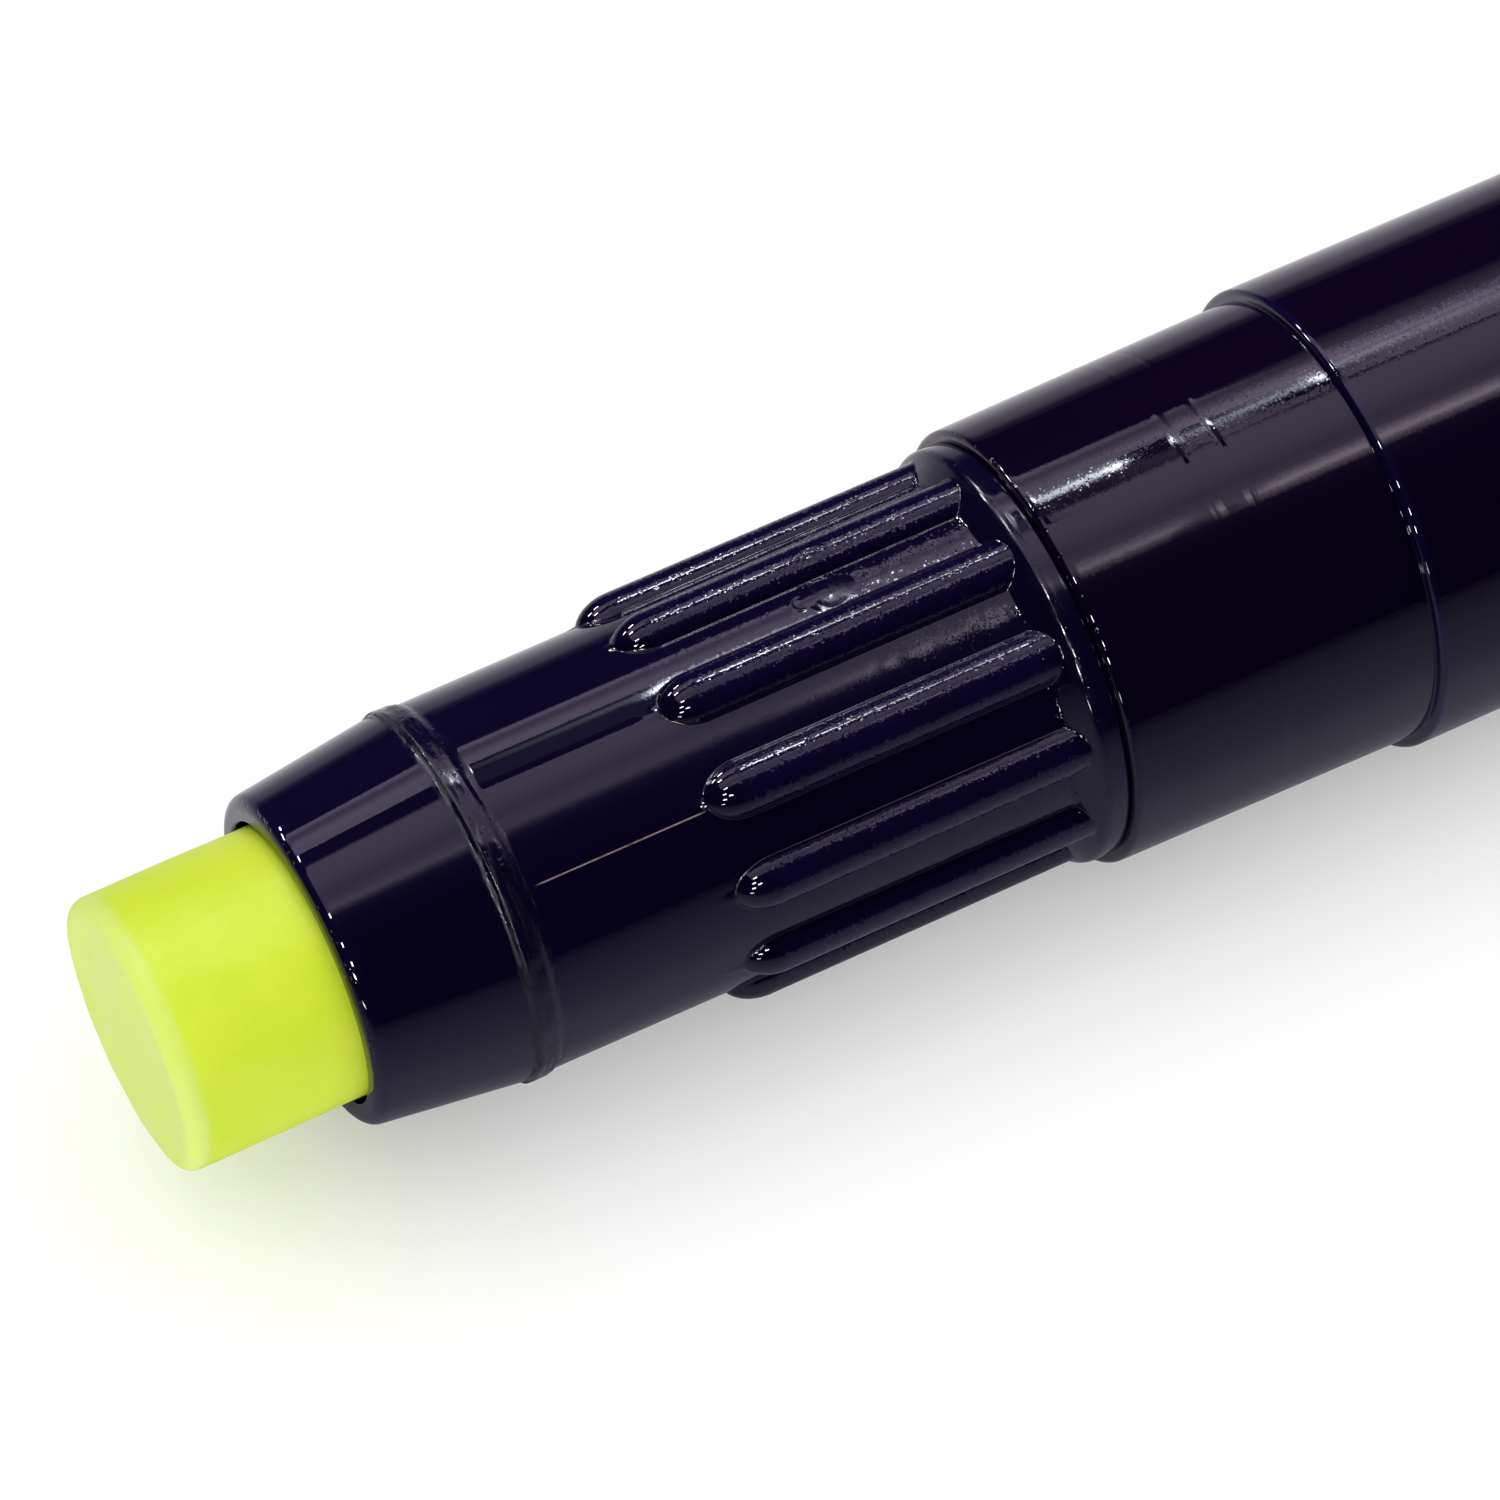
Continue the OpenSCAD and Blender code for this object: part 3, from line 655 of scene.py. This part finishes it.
def make_knob(material):
    lo, hi = GROOVE_S - GROOVE_W / 2, GROOVE_S + GROOVE_W / 2
    socket = DRIVE_W + 0.06
    corners = [
        (SOCKET_END, 0, 0), (SOCKET_END, socket / 2, 0), (KNOB_NOSE, socket / 2, 0.05),
        (KNOB_NOSE, KNOB_SPIGOT_R, 0.12), (lo, KNOB_SPIGOT_R, 0.05), (lo, GROOVE_R, 0), (hi, GROOVE_R, 0),
        (hi, KNOB_SPIGOT_R, 0.05), (KNOB_S, KNOB_SPIGOT_R, 0), (KNOB_S, KNOB_WALL_R, 0.18),
        (KNOB_END, KNOB_WALL_R, KNOB_EDGE), (KNOB_END, SEAT_HOLE_R, 0.12), (PLUG_S, SEAT_HOLE_R, 0),
        (PLUG_S, POCKET_R, 0.05), (POCKET_S, POCKET_R, 0.2), (POCKET_S, 0, 0)
    ]

    def step(s, r):
        if r < KNOB_WALL_R - 0.5 or s < KNOB_S:
            return 2.5
        ends = s < KNOB_S + KNOB_LAND + 1.2 or s > KNOB_END - KNOB_LAND - 1.2
        return 0.08 if ends else 0.3

    def shape(s, r, angle):
        outside = (r > KNOB_WALL_R - KNOB_EDGE) & (s > KNOB_S - 0.01)
        ribs = rib_height(s, angle, KNOB_RIBS, KNOB_TURN, KNOB_RIB_AXIS, KNOB_RIB_R, KNOB_RIB_R,
                          KNOB_S + KNOB_LAND, KNOB_END - KNOB_LAND)
        r = np.where(outside, smooth_max(r, ribs, 0.06), r)
        hole = (r < socket / 2 + 0.06) & (r > 0.2) & (s < SOCKET_END + 0.01)
        return s, np.where(hole, r / (socket / 2) * hexagon(angle, socket), r)

    outline = divided(rounded(corners, closed=False), step, closed=False)
    angles = rib_turns(KNOB_RIBS, KNOB_TURN, KNOB_RIB_AXIS, KNOB_RIB_R, KNOB_WALL_R)
    piece = turned("knob_shell", outline, angles, shape, closed=False, sharp=50)
    s, r, _ = stations(piece)
    rim = 0.8 * band(s, KNOB_END - 0.3, KNOB_END + 1, 0.2) * (r > SEAT_HOLE_R + 0.3)
    attribute(piece, "wear", rim)
    attribute(piece, "grain", np.full(len(s), 0.8))
    fit(piece, "knob", "twist_knob", material)


def make_plug(material):
    corners = [
        (PLUG_S, 0, 0), (PLUG_S, SKIRT_R - SKIRT_WALL, 0.1), (SKIRT_S, SKIRT_R - SKIRT_WALL, 0.1),
        (SKIRT_S, SKIRT_R, 0.15), (PLUG_S, SKIRT_R, 0), (PLUG_S, PLUG_R, 0.05),
        (PLUG_END, PLUG_R, 0.16), (PLUG_END, 0, 0)
    ]

    def shape(s, r, angle):
        face = s > PLUG_END - 0.02
        dish = -0.07 * np.exp(-(r / 1.3) ** 2) + 0.012 * np.exp(-((r - 0.5) / 0.1) ** 2)
        return s + np.where(face, dish, 0), r

    outline = divided(rounded(corners, closed=False), lambda s, r: 0.15, closed=False)
    piece = turned("plug_shell", outline, turns(144), shape, closed=False, sharp=50)
    s, r, _ = stations(piece)
    attribute(piece, "grain", np.full(len(s), 0.8))
    attribute(piece, "wear", 0.5 * band(r, PLUG_R - 0.2, PLUG_R + 1, 0.1) * (s > PLUG_END - 0.2))
    fit(piece, "knob", "end_plug", material)


def dress(names, material):
    """Gives CAD nodes that keep their own shape a material."""
    for name in names:
        NODES[name].data.materials.clear()
        NODES[name].data.materials.append(material)


# Studio

# Glowing card in place of the reflected table top, with painted light and a painted shadow of the marker:
# millimetres across the marker and colour
CARD_REACH = 200
CARD_PAINTED_TONES = [
    (-200, (0.06, 0.055, 0.075)), (-62, (0.17, 0.155, 0.23)), (-28, (0.26, 0.24, 0.35)),
    (-17, (0.31, 0.29, 0.41)), (-10, (0.36, 0.35, 0.43)), (-6, (0.24, 0.235, 0.28)), (-1, (0.15, 0.15, 0.17)),
    (3, (0.2, 0.19, 0.21)), (7, (0.68, 0.65, 0.70)), (14, (0.78, 0.75, 0.82)), (22, (0.62, 0.59, 0.66)),
    (36, (0.40, 0.375, 0.44)), (120, (0.11, 0.10, 0.13)), (200, (0.05, 0.045, 0.06)),
]

# Small lamps round the marker: compass angle from +X, height angle, radiance
SPOT_AIM, SPOT_AWAY, SPOT_SIZE = Vector((-0.055, 0, 0.01)), 0.6, (0.09, 0.03)
SPOTS = [
    (127, 50, 80), (-157, 62, 70), (-140, 45, 60), (-118, 40, 60), (-131, 26, 70), (-131, 7, 25),
    (102, 29, 60), (120, 28, 60),
]

# Light colours, the height of the ceiling panels and the turn of the lamp about the vertical
LILAC, ROSE, COOL = (0.95, 0.80, 1.08), (1.0, 0.84, 0.94), (0.90, 0.95, 1.05)
CREAM, WHITE = (1.0, 0.95, 0.75), (1, 1, 1)
CEILING, LAMP_TURN = 0.506, -0.179

# Fades of the panels along and across the marker: metres from the panel's middle and share
NEAR_Y = [
    (-0.1925, 0.0), (-0.13, 0.012), (-0.095, 0.03), (-0.08, 0.1), (-0.045, 0.38), (-0.01, 0.36),
    (0.035, 0.28), (0.075, 0.36), (0.125, 0.45), (0.1925, 0.47),
]
EDGE_X = [(-0.55, 1.0), (-0.10, 1.0), (-0.095, 0.0), (-0.042, 0.0), (-0.038, 1.0), (0.55, 1.0)]
EDGE_Y = [(-0.03, 1.0), (0.005, 1.0), (0.03, 0.0)]
GLOW_Y = [(-0.054, 1.0), (-0.02, 0.95), (0.0, 0.75), (0.024, 0.4), (0.054, 0.0)]
GAP_X = [
    (-0.06, 0.5), (0.005, 0.5), (0.012, 1.3), (0.018, 1.2), (0.021, 0.15), (0.028, 0.15), (0.031, 0.0),
]
LINE_X = [
    (-0.3, 0.25), (-0.17, 0.0), (-0.07, 0.0), (-0.05, 0.65), (-0.04, 0.65), (-0.038, 0.05), (-0.032, 0.05),
    (-0.03, 1.0), (0.3, 1.0),
]
LINE_Y = [(-0.045, 0.0), (-0.015, 0.5), (-0.006, 1.0), (0.004, 1.0), (0.018, 0.55), (0.045, 0.0)]
FAR_X = [(-0.315, 1.0), (0.265, 0.95), (0.29, 0.85), (0.315, 0.5)]
FAR_Y = [
    (-0.135, 0.9), (-0.1, 1.0), (-0.07, 0.95), (-0.036, 0.68), (0.0, 0.47), (0.036, 0.45), (0.077, 0.85),
    (0.1, 1.0), (0.113, 0.7), (0.135, 0.0),
]
BODY_X = [(-0.105, 0.45), (-0.065, 0.35), (0.105, 0.15)]
BODY_Y = [
    (-0.135, 0.9), (-0.07, 0.95), (-0.036, 0.7), (0.0, 0.6), (0.036, 0.45), (0.077, 0.3), (0.135, 0.0),
]
BACK_X = [(-0.195, 0.0), (-0.183, 0.0), (-0.165, 0.8), (-0.155, 1.0), (0.195, 1.0)]
FRONT_X = [(-0.195, 0.68), (-0.17, 0.68), (-0.155, 1.0), (0.195, 1.0)]
START_X = [(-0.014, 0.68), (0.0, 0.68), (0.014, 0.0)]
LAMP_X = [
    (-0.075, 0.0), (-0.055, 0.002), (-0.043, 0.0035), (-0.042, 0.15), (-0.040, 0.15), (-0.039, 0.10),
    (-0.024, 0.10), (-0.020, 0.05), (-0.012, 0.05), (-0.0095, 0.03), (-0.001, 0.045), (-0.0004, 0.05),
    (0.0, 0.14), (0.0004, 0.14), (0.0010, 0.0), (0.0078, 0.0), (0.0084, 0.009), (0.0230, 0.013),
    (0.0236, 0.09), (0.0244, 0.09), (0.0250, 0.007), (0.044, 0.006), (0.075, 0.0),
]
LAMP_Y = [
    (-0.045, 0.0), (-0.034, 0.04), (-0.016, 0.5), (0.0, 1.0), (0.012, 0.9), (0.022, 0.45), (0.03, 0.2),
    (0.045, 0.12), (0.065, 0.02),
]


def group(name, members):
    """Collection for the lights that shine on these objects alone."""
    chosen = bpy.data.collections.new(name)
    for member in members:
        chosen.objects.link(member)
    return chosen


def panel(name, centre, size, radiance, colour, target, glossy=True, only=None, fade_x=None, fade_y=None):
    """Area light; radiance is what a mirror shows of it, and fades are (metres from the middle, share)."""
    data = bpy.data.lights.new(name, "AREA")
    data.shape = "RECTANGLE"
    data.size, data.size_y = size
    data.energy = radiance * math.pi * size[0] * size[1]
    data.color = colour
    lamp = bpy.data.objects.new(name, data)
    bpy.context.scene.collection.objects.link(lamp)
    lamp.location = centre
    lamp.rotation_euler = (Vector(target) - Vector(centre)).to_track_quat("-Z", "Y").to_euler()
    lamp.visible_glossy = glossy
    if only:
        lamp.light_linking.receiver_collection = only
    if fade_x or fade_y:
        data.use_nodes = True
        tree = data.node_tree
        place = node(tree, "SeparateXYZ", {0: node(tree, "NewGeometry").outputs["Parametric"]})
        shares = [fade(tree, place.outputs[axis], steps, side)
                  for axis, steps, side in (("X", fade_x, size[0]), ("Y", fade_y, size[1])) if steps]
        strength = shares[0] if len(shares) == 1 else math_node(tree, "MULTIPLY", *shares)
        tree.links.new(strength, tree.nodes["Emission"].inputs["Strength"])
    return lamp


def fade(tree, along, steps, side):
    """Share of a light's strength along one of its sides."""
    ramp = node(tree, "ValToRGB", {0: along})
    set_stops(ramp.color_ramp, [(0.5 + at / side, (share, share, share)) for at, share in steps])
    return ramp.outputs["Color"]


def set_stops(ramp, stops):
    while len(ramp.elements) < len(stops):
        ramp.elements.new(0.5)
    for element, (at, colour) in zip(ramp.elements, stops):
        element.position, element.color = at, tuple(colour) + (1,)


def ground(name, z):
    bpy.ops.mesh.primitive_grid_add(x_subdivisions=8, y_subdivisions=8, size=6, location=(0, 0, z))
    piece = bpy.context.object
    piece.name = name
    piece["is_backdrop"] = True
    return piece


def floor():
    """Plain pale floor."""
    piece = ground("floor", 0)
    material, tree, shader = new_material("floor")
    grain = noise(tree, millimetres(tree), 0.05, 3)
    tree.links.new(mix(tree, grain, FLOOR_TINT, FLOOR_PALE), shader.inputs["Base Color"])
    shader.inputs["Roughness"].default_value = 0.9
    shader.inputs["Specular IOR Level"].default_value = 0.1
    piece.data.materials.append(material)
    piece.visible_glossy = False
    return piece


def painted_reflection_card():
    """Glowing card that only reflections show, in place of the lit table top: painted light, bright behind
    the marker and dim before it, with a painted shadow of the marker.
    """
    piece = ground("painted_reflection_card", -0.0002)
    material = bpy.data.materials.new("painted_reflection_card")
    material.use_nodes = True
    tree = material.node_tree
    tree.nodes.remove(tree.nodes["Principled BSDF"])
    place = node(tree, "SeparateXYZ", {0: millimetres(tree)})
    ahead = math_node(tree, "MAXIMUM", math_node(tree, "SUBTRACT", MOUTH_X, place.outputs["X"]), 0.0)
    beside = math_node(tree, "ABSOLUTE", place.outputs["Y"])
    squares = [math_node(tree, "POWER", way, 2.0) for way in (ahead, beside)]
    far = math_node(tree, "SQRT", math_node(tree, "ADD", *squares))
    across = math_node(tree, "MULTIPLY", far, math_node(tree, "SIGN", place.outputs["Y"]))
    values = {"Value": across, "From Min": -CARD_REACH, "From Max": CARD_REACH}
    ramp = node(tree, "ValToRGB", {0: node(tree, "MapRange", values).outputs["Result"]})
    set_stops(ramp.color_ramp, [(0.5 + y / (2 * CARD_REACH), tone) for y, tone in CARD_PAINTED_TONES])
    # The card glows with the painted light and painted shadow of the table; it is no lamp and is seen only in
    # reflections.
    glow = node(tree, "Emission", {"Color": ramp.outputs["Color"]})
    tree.links.new(glow.outputs["Emission"], tree.nodes["Material Output"].inputs["Surface"])
    material.cycles.emission_sampling = "NONE"
    piece.data.materials.append(material)
    piece.visible_camera = piece.visible_diffuse = piece.visible_shadow = False
    return piece


def along_marker(away):
    """Turn of a light that shines back along a direction and has its long side along the marker."""
    long = (Vector((1, 0, 0)) - away * away.x).normalized()
    return Matrix((long, away.cross(long), away)).transposed()


def ceiling(name, place, size, radiance, only, colour=LILAC, high=CEILING, **fades):
    """Panel over a place (x, y) that faces straight down."""
    return panel(name, (*place, high), size, radiance, colour, (*place, 0), only=only, **fades)


def ceiling_lights(casing):
    """The bright bands along the casing, from the near side to the far side, and the lamp between them."""
    ceiling("softbox_near", (0.16, -0.0275), (1.1, 0.385), 2.4, casing, fade_y=NEAR_Y)
    ceiling("near_edge", (0.16, 0.195), (1.1, 0.06), 1.15, casing, fade_x=EDGE_X, fade_y=EDGE_Y)
    ceiling("far_glow", (0.362, 0.406), (0.38, 0.108), 0.9, casing, high=0.505, fade_y=GLOW_Y)
    ceiling("gap_glow", (0.13, 0.2525), (0.12, 0.095), 0.3, casing, high=0.505, fade_x=GAP_X)
    ceiling("near_line", (0.16, -0.079), (0.6, 0.09), 2.6, casing, ROSE, 0.501, fade_x=LINE_X, fade_y=LINE_Y)
    ceiling("near_lip", (-0.11, 0.2135), (0.28, 0.017), 1.25, casing)
    ceiling("softbox_far", (-0.085, 0.515), (0.63, 0.27), 1.8, casing, fade_x=FAR_X, fade_y=FAR_Y)
    ceiling("far_body", (0.335, 0.515), (0.21, 0.27), 1.8, casing, fade_x=BODY_X, fade_y=BODY_Y)
    ceiling("far_lip", (-0.11, 0.3545), (0.28, 0.051), 1.6, casing)
    ceiling("mid_back", (0.355, 0.32), (0.39, 0.12), 1.75, casing, fade_x=BACK_X)
    start = ceiling("mid_start", (0.1725, 0.32), (0.028, 0.12), 1.75, casing, fade_x=START_X)
    start.rotation_euler.z = LAMP_TURN
    ceiling("mid_front", (0.341, 0.2325), (0.39, 0.055), 1.5, casing, fade_x=FRONT_X)
    lamp = ceiling("lamp", (0.150, 0.324), (0.15, 0.13), 420, casing, COOL, 0.503,
                   fade_x=LAMP_X, fade_y=LAMP_Y)
    lamp.rotation_euler.z = LAMP_TURN


def spot_lights(casing):
    """The bright points on the lip, the rib ends and the edges."""
    for i, (turn, rise, radiance) in enumerate(SPOTS):
        a, b = math.radians(turn), math.radians(rise)
        away = Vector((math.cos(a) * math.cos(b), math.sin(a) * math.cos(b), math.sin(b)))
        at = SPOT_AIM + away * SPOT_AWAY
        small = panel("spot_%d" % i, at, SPOT_SIZE, radiance, WHITE, SPOT_AIM, only=casing)
        small.visible_diffuse = False
        small.rotation_euler = along_marker(away).to_euler()


def fill_lights(casing, stick):
    """Soft light that reflections don't show, and the stick's own light."""
    below = group("below", [floor()])
    unshaded = group("unshaded", [painted_reflection_card()])
    panel("back_fill", (0.1, 0.5, 0.7), (1.2, 0.6), 3.2, CREAM, (0, 0, 0), glossy=False, only=casing)
    panel("floor_fill", (0, 0, 1.5), (3, 3), 0.7, WHITE, (0, 0, 0), glossy=False, only=below)
    wash = panel("floor_wash", (0, 0, 1.5), (3, 3), 1.35, WHITE, (0, 0, 0), glossy=False, only=below)
    wash.light_linking.blocker_collection = unshaded
    only_stick = group("stick_only", [stick])
    aim = (-0.063, 0, 0.006)
    panel("stick_top", (0.0, 0.15, 0.5), (0.5, 0.5), 2.9, WHITE, aim, only=only_stick)
    panel("stick_fill", (-0.3, -0.22, 0.12), (0.3, 0.3), 2.5, WHITE, aim, glossy=False, only=only_stick)


def studio(stick):
    world = bpy.data.worlds.new("studio")
    bpy.context.scene.world = world
    world.use_nodes = True
    back = world.node_tree.nodes["Background"]
    back.inputs["Color"].default_value = (0.16, 0.16, 0.16, 1)
    world.cycles_visibility.glossy = False
    casing = group("casing", [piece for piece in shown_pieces() if piece != stick])
    ceiling_lights(casing)
    spot_lights(casing)
    fill_lights(casing, stick)
    bpy.context.scene.view_settings.view_transform = "Standard"


CAMERA_AT, CAMERA_LENS, CAMERA_SENSOR = (-0.101421, -0.096758, 0.159546), 187.48, 36
CAMERA_RIGHT = Vector((0.88130, -0.47255, 0))
CAMERA_UP = Vector((0.38372, 0.71563, 0.58364))
CAMERA_LOOK = Vector((0.27580, 0.51437, -0.81201))


def camera():
    """Camera at the photograph's angle."""
    data = bpy.data.cameras.new("camera")
    data.lens, data.sensor_width = CAMERA_LENS, CAMERA_SENSOR
    data.clip_start = 0.01
    eye = bpy.data.objects.new("camera", data)
    bpy.context.scene.collection.objects.link(eye)
    turn = Matrix((CAMERA_RIGHT, CAMERA_UP, -CAMERA_LOOK)).transposed().to_4x4()
    eye.matrix_world = Matrix.Translation(CAMERA_AT) @ turn
    bpy.context.scene.camera = eye


camera()
nose_plastic = plastic("nose_plastic", NOSE_DEEP, NOSE_PALE, NOSE_LEAN, nose_hairline)
barrel_plastic = plastic("barrel_plastic", BARREL_DEEP, BARREL_PALE, BARREL_LEAN)
feed_plastic = moulded("feed_plastic", FEED_TINT, FEED_SHADE)
guide_plastic = moulded("guide_plastic", GUIDE_TINT, GUIDE_SHADE)
marking_stick = make_stick(wax())
make_nose(nose_plastic)
make_barrel(barrel_plastic)
make_screw(feed_plastic)
make_knob(barrel_plastic)
make_plug(barrel_plastic)
dress(["core_cup", "push_tube"], feed_plastic)
dress(["guide_tube", "rear_bush"], guide_plastic)
dress(["drag_ring"], rubber())
studio(marking_stick)
